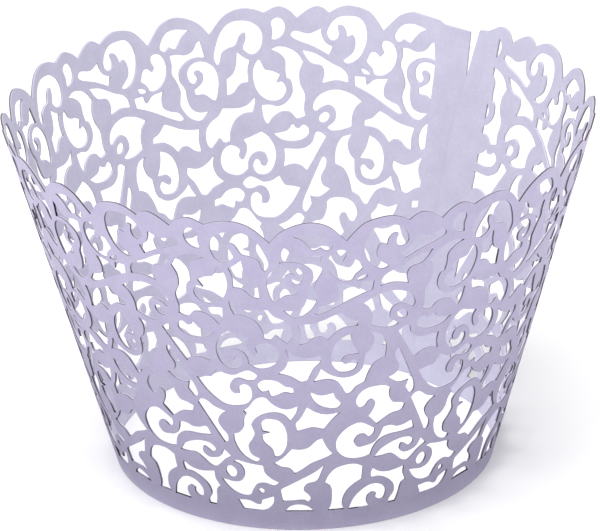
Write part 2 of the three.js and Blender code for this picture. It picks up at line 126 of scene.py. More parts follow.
# The photograph's camera: above the front, looking down into the wrapper
CAMERA_ELEVATION = 23.88
CAMERA_ROLL = -1.19
CAMERA_DISTANCE = 0.509
CAMERA_TARGET = Vector((-0.000163, 0, 0.026975))
CAMERA_LENS = 221.74
CAMERA_SENSOR = 36

# The drawn cell: x in degrees from one deep valley of the rim to the next, y in mm above the foot.
# A point with a third value is a corner, the others lie on a curve.
CELL_WIDTH = 51.43
CELL_HEIGHT = 50.5
CELL_BAND = 3.1

# The top edge of one cell, from one deep valley to the next
RIM = [
    (0, 47.3, 1), (1.4, 48.6), (3.2, 49.8), (7.3, 50.5), (9.6, 50.2), (11.7, 49.4, 1),
    (13, 50.1), (14.4, 50.3), (16.2, 49.8), (18.4, 48.7, 1), (20, 49.8), (22.3, 50.4),
    (25.3, 49.6, 1), (27.5, 50.2), (30.6, 50.4), (33.8, 49.6), (37.2, 47.3, 1),
    (39, 48.8), (41.6, 49.9), (44.8, 50.4), (48, 49.7), (50.2, 48.2),
]

# Hooks and teardrops under the scallops of the rim
RIM_HOLES = [
    [(8.4, 42.7), (7.4, 42.4), (5.6, 42.9), (4.2, 44.1), (3.4, 46), (3.8, 47.8), (5.2, 48.9), (7.5, 49.1),
     (9.8, 48.8), (11.4, 47.7), (12, 46.4), (11.2, 45.6), (9.9, 45.8), (9.5, 46.6), (9.8, 47.6),
     (8.8, 47.7), (8, 47), (7.8, 46.1, 1), (6.5, 46.4), (5.9, 45.5), (6.1, 44.2), (7.2, 43.4)],
    [(13.4, 47.2, 1), (14.6, 46.8), (16, 46.5), (19.2, 46.9), (19.8, 46.3), (18.8, 45.7), (15, 44.7),
     (11.6, 43.5, 1), (10.8, 44.7, 1), (12.4, 45.3), (13.2, 46.3)],
    [(20.9, 47.6), (21.6, 48.6), (22.7, 48.85), (23.8, 48.3), (23.6, 47), (23.9, 45.8, 1), (22.9, 45.8),
     (21.5, 46.4)],
    [(36.1, 42.9), (36.8, 44), (36.2, 45.5), (34.9, 47.3), (33, 48.5), (30.5, 48.8), (28, 48.4),
     (26.3, 47.4), (25.8, 46.1), (26.5, 44.6), (28.3, 43.9), (30.2, 44.9), (29.5, 46.1), (29.5, 47),
     (30.6, 46.8), (31.8, 45.4), (33.4, 45.1), (34.9, 44.5), (35.5, 43.3)],
    [(41.6, 48.3, 1), (43.2, 48.6), (45, 48.8), (46.9, 48.5), (48.2, 47.6), (48.8, 46.6), (47.8, 46),
     (46.6, 46.5, 1), (45.2, 46.1), (44.3, 46.8), (43.2, 47.7)],
]

# Round the coiled tendril on the right, and the kidney and long gaps between stems
UPPER_HOLES = [
    [(39.5, 46.7, 1), (40.3, 46.4), (41.4, 45.4), (43.3, 45), (45.2, 45.3), (46.8, 45.3, 1), (46.6, 44),
     (46.9, 42.9), (46, 41.5), (45.4, 40.1), (45.9, 38.3), (44.8, 36.8), (43, 35.8), (41.2, 35.6),
     (39.2, 36.7, 1), (41.4, 36.7), (43.2, 37.3), (44, 38.8), (44.1, 40.1), (45.2, 41.5), (45.1, 42.8),
     (43.5, 43.9), (41, 44.4), (38.8, 44.2, 1)],
    [(37.3, 38.1), (36.5, 39.4), (36.2, 41), (36.8, 42.4), (38.3, 43.4), (40.5, 43.8), (42.4, 43.4),
     (43.3, 42.4), (43, 41.3), (41.9, 40.8), (41.1, 41.4), (41.7, 42.3), (40.8, 42.6), (39.7, 42),
     (39.9, 41), (41.2, 40.3), (42.1, 40, 1), (41.9, 39.3), (39.8, 39.1), (38.1, 38.2, 1)],
    [(31.6, 44.4, 1), (30.2, 43.6), (28.9, 43.1, 1), (29.5, 41.8), (29.5, 40.1, 1), (31.4, 39.9),
     (33, 38.8), (34.6, 38.5, 1), (34.4, 40.8, 1), (32.8, 41.5), (32, 42.6)],
    [(26.9, 43.1), (27.9, 42.4), (28.4, 41), (28, 39.3), (26.7, 37.9), (24.4, 37.2), (22.2, 37.5),
     (21.1, 38.6), (21.9, 39.8), (23.3, 39.7, 1), (22.3, 40.8, 1), (24, 41.4), (25.7, 41.7), (26.4, 42.6)],
    [(24.3, 44.4, 1), (22.6, 44.8), (20.3, 44.5), (18.4, 43.7), (17.2, 42.5, 1), (18.1, 41.1), (18, 39.5),
     (16.9, 37.9), (17.2, 36), (16.9, 34.9, 1), (18.9, 34.6), (20.3, 35.5), (22.4, 35.6), (24.4, 34.9),
     (25.7, 34), (26.5, 34.9), (26.8, 36.7, 1), (25, 36.7), (23, 36.4), (20.8, 37.1), (19.6, 38.4),
     (20, 40), (20.9, 40.3, 1), (21.1, 41.4), (21.1, 42.8), (22.3, 43.8)],
    [(17.4, 44.2, 1), (14.5, 43.7), (11, 42.4), (8.2, 41.5), (7.3, 40.7), (7.1, 39.7, 1), (9.8, 40),
     (13, 39.5, 1), (12.5, 40.8), (13, 41.9), (15.2, 42.3), (16.3, 42.9)],
    [(2.2, 41.1), (3, 41.6), (4.4, 41.8), (4, 41.2), (2.9, 41)],
    [(-1.3, 46), (-0.2, 45.8), (0, 45.1), (-0.5, 44.2), (0.2, 43.7), (1.1, 44.2), (2.2, 44.2),
     (3.3, 42.8, 1), (1.9, 41.9), (1.4, 41.2), (0, 41), (-1.9, 41.6), (-3.3, 42.9), (-3.5, 44.3),
     (-2.7, 45.5)],
    [(-1.9, 40.7, 1), (-1.2, 39.6), (-1.3, 38.3), (-3, 37.6), (-4.8, 37.2), (-6, 36.2, 1), (-5.2, 36),
     (-2, 36.9), (0.5, 37.8), (3, 38.6), (5.6, 39.3, 1), (5.8, 40.7, 1), (3.3, 40.7, 1), (2.9, 39.6),
     (2.1, 39.9), (1.2, 40.4)],
]

# Domes, coils and star-shaped gaps half way up
MIDDLE_HOLES = [
    [(3.8, 37.2, 1), (6, 38.1), (9.6, 38.7), (12.4, 38.3), (14.3, 37.4), (15.1, 36.1), (14.6, 35.6),
     (13, 36.2), (11.4, 36.5), (10, 35.8), (9.8, 34.5), (11, 33.7), (11.9, 33.3, 1), (10.9, 32.9),
     (8.6, 33), (6, 33.6, 1), (6, 35), (5.2, 36.4)],
    [(11.3, 35.2), (12.3, 35.5), (13.5, 34.9), (13.6, 34.2), (12.6, 34), (11.5, 34.5)],
    [(16.2, 33.2), (17.3, 33.7), (18.4, 33.2, 1), (19.2, 33.3, 1), (19.8, 33.8), (21, 33), (22.8, 32.7),
     (24.5, 32.6, 1), (22.6, 31.7), (19.5, 31.4), (17.1, 31.8), (16.1, 32.5)],
    [(12, 32, 1), (13.2, 32.6), (14.4, 32.6), (15.2, 31.3), (17.2, 30.4), (22, 30.4, 1), (21.9, 29.1),
     (22.4, 27.8, 1), (20, 28.2), (18, 27.9), (16.7, 27.2, 1), (15.6, 28.2)],
    [(1.7, 32.6, 1), (0, 32.1), (-1.6, 31.1), (-2.4, 29.5), (-2.1, 27.7), (-0.8, 26.6), (1.2, 26.4),
     (2.9, 26.8), (3.4, 27.8), (2.6, 28.4), (1.7, 28), (0.6, 27.7), (-0.1, 28.3), (0.7, 29.1),
     (2.4, 29.2), (3.6, 29.2, 1), (2.5, 30.4), (1.9, 31.6)],
    [(6, 32.5, 1), (8.3, 31.9), (9.6, 30.2), (9.7, 28.2, 1), (7.6, 27.6), (6.2, 26.2), (5.3, 24.4, 1),
     (3.4, 23.8), (2.4, 23), (1.3, 22.8), (0.4, 23.7), (-0.8, 24.8), (-2.8, 25.4), (-6.3, 25.1, 1),
     (-5.3, 26.1), (-4.6, 27.2, 1), (-3.2, 26.4), (-1.4, 25.8), (0.6, 25.5), (3, 25.8), (4.6, 26.8),
     (5, 29, 1), (6.3, 29.9), (6.8, 31.3)],
    [(12.6, 29.2), (13.8, 27.9), (15.8, 25.3), (17.6, 22.9), (17.8, 21.8), (17, 21.3), (15.5, 22.5, 1),
     (16, 23.6, 1), (13.6, 23.5), (10.8, 24.6, 1), (12.8, 25.3), (13.2, 26.3), (12.1, 27.7), (11.9, 28.7)],
    [(27.3, 33, 1), (25.7, 32.2), (24.4, 30.8), (24.1, 29.4), (24.7, 28), (26, 27.1), (27.7, 26.9),
     (29.2, 27.3), (29.8, 28.3), (29.2, 29.1), (28.3, 29), (27.8, 28.3), (26.6, 28.2), (26.1, 29),
     (26.7, 29.9), (28.4, 30.2), (30, 29.8), (30.9, 28.9), (31.1, 27.9, 1), (33, 27.2), (35.4, 27.4),
     (37.2, 28.2), (37.8, 29.5), (37.1, 30.8), (35.4, 31.5), (33.6, 31.2), (32.8, 30.6), (33.1, 29.7),
     (32.2, 29.3), (31.2, 30.3), (31, 31.2), (31.6, 32.1, 1), (29.5, 32.5)],
    [(28.3, 37.9, 1), (29.9, 37), (32, 36.6), (36, 36.8, 1), (37.2, 35.8), (39.2, 35.1), (40.6, 33.9),
     (40.7, 32.4), (39.8, 31.5), (38.6, 32), (37.3, 32.7), (36.4, 32), (34.9, 32.1, 1), (34.6, 33.4),
     (33.3, 34.9), (31.2, 35.7), (29, 35.8, 1), (28.4, 36.9)],
    [(-9.4, 34.4, 1), (-8.9, 33), (-9.1, 31.2, 1), (-7.6, 31.5), (-6, 32.3), (-4.4, 32.4),
     (-3.2, 31.8, 1), (-1.9, 32.8), (0, 33.6), (3, 33.8, 1), (2.9, 34.5), (1.2, 35), (-0.6, 36.1, 1),
     (-2.2, 35.7), (-4, 35.1), (-6.6, 34.6)],
    [(39.2, 30.5, 1), (41.6, 29.4), (44, 29), (46.6, 29.4, 1), (46.8, 28.5), (45.2, 27.2), (43.8, 25.3, 1),
     (42.4, 25.1), (40.2, 26), (37.4, 26.5, 1), (39.1, 27.5), (39.8, 29)],
]

# Shields, boats and commas in the lower half
LOWER_HOLES = [
    [(18.3, 24.8, 1), (20.4, 25.1), (22.2, 25.3), (23.6, 26.6, 1), (25.4, 26), (27.6, 25.9), (29.4, 26.5),
     (31, 26.8), (32.7, 26), (31.9, 25.2, 1), (30.4, 25.1), (28.4, 25.4), (26.7, 24.8), (26.1, 23.7),
     (26.8, 22.9), (28.2, 22.9, 1), (28.3, 23.9), (29.6, 24.5), (30.9, 24), (31.1, 22.6), (29.8, 21.3),
     (27.5, 20.8), (24.6, 20.8), (22.2, 21.7), (20, 23.1)],
    [(32.5, 24.3), (33.6, 25.2), (35.6, 25.4), (37.4, 25.1), (38.8, 24.4), (40.5, 24.1), (40.6, 23.3),
     (38.6, 23.4), (36.9, 22.9), (35.5, 22.7), (35, 23.6, 1), (33.4, 23.4)],
    [(28.6, 20, 1), (30, 20.7), (31.5, 21.9), (32.7, 22.4), (34.2, 22.4), (35.5, 21.5), (37.3, 20.8),
     (39.2, 20.6), (41.5, 21.1, 1), (41, 19.9), (39.7, 18.6, 1), (38.3, 19.6), (36.3, 20), (33.6, 19.7),
     (31.3, 18.8), (30.2, 17.8), (30.8, 16.4), (30, 15.3), (28.9, 14.2), (29.3, 12.9), (31.5, 12.1, 1),
     (30.8, 11.5), (28.6, 11.9), (26.6, 13), (25.5, 14.6), (25.4, 15.9, 1), (27.2, 16.4), (28.2, 17.3),
     (28.5, 18.5), (29.3, 19.5, 1)],
    [(32.6, 18), (33.6, 18.8), (35.2, 18.9), (37, 18.6), (38.3, 17.5), (38.7, 15.8), (38.2, 14),
     (36.9, 12.8), (35.4, 12.5, 1), (34.8, 13.8), (32.8, 15.1), (32.6, 16.2, 1), (34.5, 16.6, 1),
     (32.8, 16.8, 1)],
    [(43.6, 20.9, 1), (45.5, 20.1), (48, 19.6), (51.5, 19.8, 1), (49.9, 18.9), (48.6, 17.9),
     (47.6, 17.1, 1), (45, 17.5), (42.8, 17.2), (41.2, 16.9, 1), (40.9, 18.1), (42.2, 19.2)],
    [(44.4, 23.4, 1), (46.8, 22.8), (49.7, 23.1, 1), (50.1, 22.3), (51.5, 21.2), (50.9, 20.6),
     (48.6, 20.6), (46.4, 21.2), (45, 22.2)],
    [(47.2, 15.6, 1), (48.3, 14.1), (50, 12.8, 1), (47.9, 12.2), (44.6, 11.4), (42.2, 10.4),
     (40.3, 9.7, 1), (38.9, 10.6), (36.8, 10.8), (35, 11.4, 1), (37.4, 12.4), (39.7, 13.9, 1),
     (42, 13.8), (44, 14.2), (45.9, 15.3)],
    [(5.2, 17.7), (3.2, 17.5), (0.8, 16.5), (-0.7, 15), (-0.5, 13.5), (0.9, 12.4), (3, 11.8), (6, 11.7),
     (8.2, 12, 1), (8.8, 13.2), (10.2, 14.3), (12.4, 14.9), (16, 15), (19.5, 15.2, 1), (18.6, 16.5),
     (16.6, 16.2), (14.6, 16.1), (12.8, 16.5), (11, 16.4, 1), (10.2, 15), (9, 14.1), (6.8, 13.7),
     (4.6, 13.7), (3.7, 14.6), (4.7, 15.6), (6.3, 15.7), (7.6, 15.1), (8.7, 15.7), (8.8, 16.4, 1),
     (6.8, 17.2)],
    [(3.6, 21.4), (4.4, 22.6), (6, 23.3), (8.4, 23.5), (10.6, 23.3), (11.7, 22.8, 1), (11.6, 21.8),
     (12.6, 20.4), (14.4, 20.1), (16, 19.7, 1), (15.4, 18.8), (12.6, 18.4), (10.6, 17.7), (9.3, 17.1, 1),
     (6.9, 18.6, 1), (8, 19.8), (8.3, 20.8), (7.4, 21.4), (6.6, 21.2), (5.9, 20.5), (4.6, 20.2)],
    [(17.4, 20.5, 1), (18.3, 21.1), (19.6, 21.1), (21.6, 20.2), (24.4, 19.6, 1), (22.6, 18.8),
     (21.9, 17.8), (22.6, 16.7), (23.9, 15.6), (23.7, 14.5), (22.8, 14.3, 1), (20, 17.5)],
    [(9.3, 11.5, 1), (11, 12.7), (13.5, 13.5), (16.4, 13.9), (18.8, 13.7), (20, 12.9), (19, 12.3),
     (17.6, 12.8), (16.5, 13), (16.2, 12.1), (17.4, 11.4), (19.4, 11.4), (21.2, 11.9), (22.2, 13.1, 1),
     (24, 12, 1), (22, 11.3), (20.2, 10.3), (19, 9.8), (17.4, 10.1), (15.6, 11), (14, 11.6), (11.4, 11.5)],
]

# Standing on the plain band
FOOT_HOLES = [
    [(47.9, 11.1, 1), (45.6, 10), (42, 8.8), (38.6, 7.7), (36.4, 6.9), (36.3, 6.4), (36.7, 4.9, 1),
     (39, 5), (42.6, 5.1), (43.5, 4.8), (44.3, 5.3), (43.8, 6), (42.4, 6.9), (43.2, 7.8), (46, 8.4),
     (47, 9.7)],
    [(37.1, 3.2, 1), (38.7, 4.1), (41.2, 4.4), (43.6, 4), (45.1, 3.2, 1)],
    [(24.1, 4.7, 1), (27.6, 4.7), (29.5, 4.2), (30.5, 4.2, 1), (31, 5, 1), (34.3, 5.7, 1), (34.1, 4.6),
     (32.6, 3.5), (30.8, 3.1, 1), (25.4, 3.1, 1)],
    [(30.3, 6.6), (30.9, 7), (31.8, 6.8), (31.9, 6.4), (31.1, 6.1)],
    [(21.85, 9.4), (22.6, 10.25), (23.9, 10.35), (24.95, 9.5), (24.2, 8.55), (22.7, 8.5)],
    [(24.3, 11.2, 1), (25.2, 11.5), (28, 11.2), (32.1, 10.9, 1), (32.3, 9.9), (33.9, 8.8), (36.1, 8.1, 1),
     (34.6, 7.5), (32.2, 7.9), (30, 7.6), (28.8, 6.7), (27.9, 5.7), (25.6, 5.5), (23, 6.1),
     (21.2, 7.1), (20.2, 8, 1), (21.6, 7.9), (24, 7.7), (26.2, 8.2), (27, 9.4), (26.3, 10.6)],
    [(-3.4, 8, 1), (-2.4, 9.3), (-0.8, 10.3), (1.8, 10.8), (4.4, 10.8), (6.6, 10.2, 1), (6.5, 8, 1),
     (4.4, 7.3), (2.6, 6.3), (1.6, 5), (1.5, 3.9), (2, 3.2, 1), (-2.5, 3.2, 1), (-1.7, 4), (-1.4, 5.6),
     (-1.7, 7.2)],
    [(3.3, 3.1, 1), (4.6, 4.9), (6.6, 6.1), (8.6, 6.8), (10.6, 6.9), (12.5, 6.4), (13.8, 5.3),
     (13.4, 4.2), (12.2, 4), (10.9, 4.6), (11.1, 5.2, 1), (9.8, 5.5), (8.5, 4.9), (8.4, 4),
     (9.2, 3.1, 1)],
    [(9.3, 9.6, 1), (11.2, 8.9), (14, 8.6), (18.4, 9, 1), (18.4, 7.8), (19.5, 6.5, 1), (18.3, 6),
     (17.8, 4.4), (17.2, 3.1, 1), (15.1, 3.1, 1), (15, 3.7), (16.3, 4.9), (15.9, 6.2), (14, 7.3),
     (11.4, 8), (9.2, 8, 1), (8.9, 8.9)],
]

SLOPE = (TOP_RADIUS - BOTTOM_RADIUS) / HEIGHT
SIN_HALF_ANGLE = SLOPE / math.hypot(1, SLOPE)
MIDDLE = (LACE_START + LACE_END) / 2


def smooth(part):
    """0 below 0 and 1 above 1, with a soft start and end."""
    part = min(max(part, 0), 1)
    return part * part * (3 - 2 * part)


def on_sheet(point, turn):
    """From the drawn cell to the sheet: the angle round the cone and the height above the foot."""
    angle = FIRST_VALLEY + (turn + point[0] / CELL_WIDTH) * REPEAT_ANGLE
    crept = smooth((angle - CREEP_FROM) / (CREEP_TO - CREEP_FROM))
    lace = (point[1] - CELL_BAND) / (CELL_HEIGHT - CELL_BAND)
    height = BAND_HEIGHT + lace * (HEIGHT - BAND_HEIGHT + LIFT * crept)
    return Vector((angle + CREEP * crept, height))


def flat(point):
    """The sheet unrolled: a sector of a ring round the cone's apex."""
    reach = (BOTTOM_RADIUS + SLOPE * point.y) / SIN_HALF_ANGLE
    swing = math.radians(point.x - MIDDLE) * SIN_HALF_ANGLE
    return Vector((reach * math.sin(swing), reach * math.cos(swing)))


def rolled(spot, side):
    """From the unrolled sheet to the standing wrapper, on the card's outer or inner face."""
    angle = math.degrees(math.atan2(spot.x, spot.y) / SIN_HALF_ANGLE) + MIDDLE
    height = (spot.xy.length * SIN_HALF_ANGLE - BOTTOM_RADIUS) / SLOPE
    ease = smooth((angle - LACE_END + LAP_EASE) / LAP_EASE)
    radius = BOTTOM_RADIUS + SLOPE * height - ease * (CARD_THICKNESS + LAP_CLEARANCE)
    radius += side * CARD_THICKNESS / 2 * math.hypot(1, SLOPE)
    turn = math.radians(angle)
    return Vector((radius * math.sin(turn), -radius * math.cos(turn), height))


def curve(points, closed=False):
    """A smooth curve through the points, without its last point."""
    count = len(points)
    if count < 3:
        return points[:-1]
    line = []
    for i in range(count if closed else count - 1):
        if closed:
            a, b, c, d = (points[(i + k) % count] for k in (-1, 0, 1, 2))
        else:
            b, c = points[i], points[i + 1]
            a = points[i - 1] if i > 0 else b * 2 - c
            d = points[i + 2] if i + 2 < count else c * 2 - b
        for step in range(CURVE_STEPS):
            line.append(knot(a, b, c, d, step / CURVE_STEPS))
    return line


def knot(a, b, c, d, t):
    """A point of the centripetal curve from b to c."""
    ab, bc, cd = ((q - p).length ** 0.5 for p, q in ((a, b), (b, c), (c, d)))
    start = ((b - a) / ab - (c - a) / (ab + bc) + (c - b) / bc) * bc
    end = ((c - b) / bc - (d - b) / (bc + cd) + (d - c) / cd) * bc
    return (b + start * t + (3 * (c - b) - 2 * start - end) * t ** 2
            + (2 * (b - c) + start + end) * t ** 3)


def outline(drawn, turn):
    """A closed outline from its drawn points: curves between corners."""
    points = [on_sheet(p, turn) for p in drawn]
    corners = [i for i, p in enumerate(drawn) if len(p) > 2]
    if not corners:
        return curve(points, True)
    loop = []
    for corner, following in zip(corners, corners[1:] + [corners[0] + len(points)]):
        loop += curve([points[i % len(points)] for i in range(corner, following + 1)])
    return loop


def cut_at(loop, angle, keep):
    """Cuts an outline along one generator line of the cone and keeps the pieces on one side."""
    inside = [keep * (p.x - angle) > 0 for p in loop]
    if all(inside):
        return [loop]
    if not any(inside):
        return []
    count = len(loop)
    first = next(i for i in range(count) if not inside[i] and inside[(i + 1) % count])
    pieces = []
    for i in range(count):
        a, b = (first + i) % count, (first + i + 1) % count
        if inside[a] != inside[b]:
            crossing = loop[a].lerp(loop[b], (angle - loop[a].x) / (loop[b].x - loop[a].x))
            crossing.x = angle
            if inside[b]:
                pieces.append([crossing])
            else:
                pieces[-1].append(crossing)
        if inside[b]:
            pieces[-1].append(loop[b])
    return join(pieces)


def join(pieces):
    """Closes cut pieces along the line: sorted by height, its crossings enclose the hole two by two."""
    ends = []
    for i, piece in enumerate(pieces):
        ends += [(piece[0].y, i, 0), (piece[-1].y, i, 1)]
    ends.sort()
    mates = {}
    for low, high in zip(ends[::2], ends[1::2]):
        mates[low[1:]] = high[1:]
        mates[high[1:]] = low[1:]
    waiting = set(range(len(pieces)))
    loops = []
    while waiting:
        piece = min(waiting)
        loop = []
        while piece in waiting:
            waiting.remove(piece)
            loop += pieces[piece]
            piece = mates[(piece, 1)][0]
        loops.append(loop)
    return loops


def all_holes():
    """Every hole of the lace, repeated round the sheet and cut off at the two plain strips."""
    drawn = RIM_HOLES + UPPER_HOLES + MIDDLE_HOLES + LOWER_HOLES + FOOT_HOLES
    first = math.floor((LACE_START - FIRST_VALLEY) / REPEAT_ANGLE) - 1
    last = math.ceil((LACE_END - FIRST_VALLEY) / REPEAT_ANGLE) + 1
    loops = []
    for turn in range(first, last + 1):
        for hole in drawn:
            for kept in cut_at(outline(hole, turn), LACE_START, 1):
                loops += cut_at(kept, LACE_END, -1)
    return loops


def top_edge():
    """From the inner end back to the outer end: scallops between two plain strips."""
    first = math.floor((SCALLOP_START - FIRST_VALLEY) / REPEAT_ANGLE)
    last = math.floor((SCALLOP_END - FIRST_VALLEY) / REPEAT_ANGLE)
    corners = [i for i, p in enumerate(RIM) if len(p) > 2] + [len(RIM)]
    closed_rim = RIM + [(CELL_WIDTH, RIM[0][1])]
    line = []
    for turn in range(first, last + 1):
        for corner, following in zip(corners, corners[1:]):
            line += curve([on_sheet(p, turn) for p in closed_rim[corner:following + 1]])
    line = [p for p in line if SCALLOP_START < p.x < SCALLOP_END]
    shoulder = curve([line[-1]] + [Vector(p) for p in INNER_STRIP_TOP])
    return shoulder[::-1] + line[-2::-1] + [Vector(p) for p in OUTER_STRIP_TOP[::-1]]


def straight(a, b, step):
    """Even points from a to b, without b."""
    count = max(1, round((b - a).length / step))
    return [a.lerp(b, i / count) for i in range(count)]


def sheet_edge():
    """The sheet's own outline: along the foot, up the inner end, back along the rim and down."""
    outer = [Vector(p) for p in OUTER_EDGE]
    inner = [Vector(p) for p in INNER_EDGE]
    foot = straight(outer[0], inner[0], FOOT_STEP)
    return foot + curve(inner) + inner[-1:] + top_edge() + straight(outer[1], outer[0], END_STEP)


def flat_sheet():
    """The pierced sheet before it is rolled: points, triangles, and how sharply each cut edge turns."""
    spots = []
    rings = []
    turns = []
    for loop in [sheet_edge()] + all_holes():
        ring = [flat(p) for p in loop]
        if sum(p.cross(q) for p, q in zip(ring, ring[1:] + ring[:1])) < 0:
            ring.reverse()
        rings.append(range(len(spots), len(spots) + len(ring)))
        spots += ring
        turns += [bend(ring[i - 1], ring[i], ring[(i + 1) % len(ring)]) for i in range(len(ring))]
    turns[:len(rings[0])] = [RIM_MARK] * len(rings[0])
    spots += [flat(Vector(place)) for place in strip_grid()]
    result = delaunay_2d_cdt(spots, [], rings, 1, 1e-5, True)
    card = [face for face, owners in zip(result[2], result[5]) if list(owners) == [0]]
    marks = [turns[ids[0]] if ids and ids[0] < len(turns) else 0 for ids in result[3]]
    return result[0], card, marks


def bend(before, here, after):
    """0 where a cut runs nearly straight on, 1 where it turns by about a right angle or more."""
    turn = (here - before).angle(after - here, 0)
    return min(1, max(0, (turn - SCORCH_START) / SCORCH_RANGE))


def strip_grid():
    for height in STRIP_HEIGHTS:
        for angle in STRIP_ANGLES:
            yield angle, height


def rolled_sheet(bm):
    """Lays the sheet out flat, gives it its thickness and rolls it into the cone."""
    places, faces, marks = flat_sheet()
    depth = bm.verts.layers.float.new("depth")
    scorch = bm.verts.layers.float.new("scorch")
    verts = [bm.verts.new((p.x, p.y, 0)) for p in places]
    for vert, mark in zip(verts, marks):
        vert[scorch] = mark
    for face in faces:
        bm.faces.new([verts[i] for i in face])
    bmesh.ops.recalc_face_normals(bm, faces=bm.faces)
    if next(iter(bm.faces)).normal.z < 0:
        bmesh.ops.reverse_faces(bm, faces=bm.faces)
    inner = set(bm.verts)
    bmesh.ops.extrude_face_region(bm, geom=bm.faces[:])
    for vert in bm.verts:
        side = -1 if vert in inner else 1
        vert.co = rolled(vert.co, side) * MM
        vert[depth] = (1 - side) / 2
    bmesh.ops.recalc_face_normals(bm, faces=bm.faces)


def nodes_of(name):
    """A new material, its node tree and its surface shader."""
    material = bpy.data.materials.new(name)
    material.use_nodes = True
    tree = material.node_tree
    return material, tree, tree.nodes["Principled BSDF"]


def paper_grain():
    """The grain that the card's faces and its cut edges share, over the object's own coordinates."""
    group = bpy.data.node_groups.new("paper_grain", "ShaderNodeTree")
    for name in ("Fineness", "Detail", "Roughness"):
        group.interface.new_socket(name, in_out="INPUT", socket_type="NodeSocketFloat")
    group.interface.new_socket("Grain", in_out="OUTPUT", socket_type="NodeSocketFloat")
    taken = group.nodes.new("NodeGroupInput")
    given = group.nodes.new("NodeGroupOutput")
    place = group.nodes.new("ShaderNodeTexCoord")
    texture = group.nodes.new("ShaderNodeTexNoise")
    group.links.new(place.outputs["Object"], texture.inputs["Vector"])
    for name, socket in (("Fineness", "Scale"), ("Detail", "Detail"), ("Roughness", "Roughness")):
        group.links.new(taken.outputs[name], texture.inputs[socket])
    group.links.new(texture.outputs["Fac"], given.inputs["Grain"])
    return group


def grain(tree, fineness, detail=4.0, roughness=0.6):
    """Places the paper grain in a material, its fineness in features a metre."""
    node = tree.nodes.new("ShaderNodeGroup")
    node.node_tree = bpy.data.node_groups.get("paper_grain") or paper_grain()
    for name, value in (("Fineness", fineness), ("Detail", detail), ("Roughness", roughness)):
        node.inputs[name].default_value = value
    return node.outputs["Grain"]


def ramp(tree, value, stops):
    """A colour ramp over a value, from one (place, colour) to another."""
    node = tree.nodes.new("ShaderNodeValToRGB")
    for element, (position, colour) in zip(node.color_ramp.elements, stops):
        element.position = position
        element.color = (*colour, 1)
    tree.links.new(value, node.inputs["Fac"])
    return node.outputs["Color"]


def mixed(tree, factor, a, b, how="MIX"):
    node = tree.nodes.new("ShaderNodeMix")
    node.data_type = "RGBA"
    node.blend_type = how
    node.inputs["Factor"].default_value = factor
    tree.links.new(a, node.inputs["A"])
    tree.links.new(b, node.inputs["B"])
    return node.outputs["Result"]


def bumped(tree, shader, value, strength, distance):
    node = tree.nodes.new("ShaderNodeBump")
    node.inputs["Strength"].default_value = strength
    node.inputs["Distance"].default_value = distance
    tree.links.new(value, node.inputs["Height"])
    tree.links.new(node.outputs["Normal"], shader.inputs["Normal"])


def pearl_card():
    """Lilac card with a fine pearl coat: soft cloudy tone, short fibres and a slight satin gloss."""
    material, tree, shader = nodes_of("lilac_pearl_card")
    clouds = ramp(tree, grain(tree, 260, 3), [(0.35, CARD_SHADE), (0.68, CARD_LIGHT)])
    # Painted light: the inner face gets its own lighter tones, standing in for the light inside the
    # wrapper
    inside = ramp(tree, grain(tree, 320, 3), [(0.35, PAINTED_LIT_INSIDE_SHADE), (0.68, PAINTED_LIT_INSIDE_LIGHT)])
    clouds = blended(tree, attribute(tree, "depth"), clouds, inside)
    fibres = ramp(tree, grain(tree, 2600, 5, 0.7), [(0.36, (0.9, 0.9, 0.92)), (0.62, (1, 1, 1))])
    tree.links.new(mixed(tree, 0.8, clouds, fibres, "MULTIPLY"), shader.inputs["Base Color"])
    gloss = ramp(tree, grain(tree, 1900, 3), [(0.3, (0.42, 0.42, 0.42)), (0.7, (0.56, 0.56, 0.56))])
    tree.links.new(gloss, shader.inputs["Roughness"])
    shader.inputs["Specular IOR Level"].default_value = 0.45
    bumped(tree, shader, grain(tree, 2200, 5, 0.65), 0.35, 0.00003)
    return material


def attribute(tree, name):
    node = tree.nodes.new("ShaderNodeAttribute")
    node.attribute_name = name
    return node.outputs["Fac"]


def spread(tree, value, low, high, to_low=0.0, to_high=1.0):
    """Stretches a value from low..high to to_low..to_high and cuts off what lies outside."""
    node = tree.nodes.new("ShaderNodeMapRange")
    for socket, number in zip(("From Min", "From Max", "To Min", "To Max"), (low, high, to_low, to_high)):
        node.inputs[socket].default_value = number
    tree.links.new(value, node.inputs["Value"])
    return node.outputs["Result"]


def times(tree, a, b):
    node = tree.nodes.new("ShaderNodeMath")
    node.operation = "MULTIPLY"
    tree.links.new(a, node.inputs[0])
    tree.links.new(b, node.inputs[1])
    return node.outputs["Value"]


def blended(tree, factor, a, b):
    """Colour a turning into colour b as the factor goes to 1; a is a socket or a colour."""
    node = tree.nodes.new("ShaderNodeMix")
    node.data_type = "RGBA"
    tree.links.new(factor, node.inputs["Factor"])
    for socket, colour in (("A", a), ("B", b)):
        if isinstance(colour, tuple):
            node.inputs[socket].default_value = (*colour, 1)
        else:
            tree.links.new(colour, node.inputs[socket])
    return node.outputs["Result"]


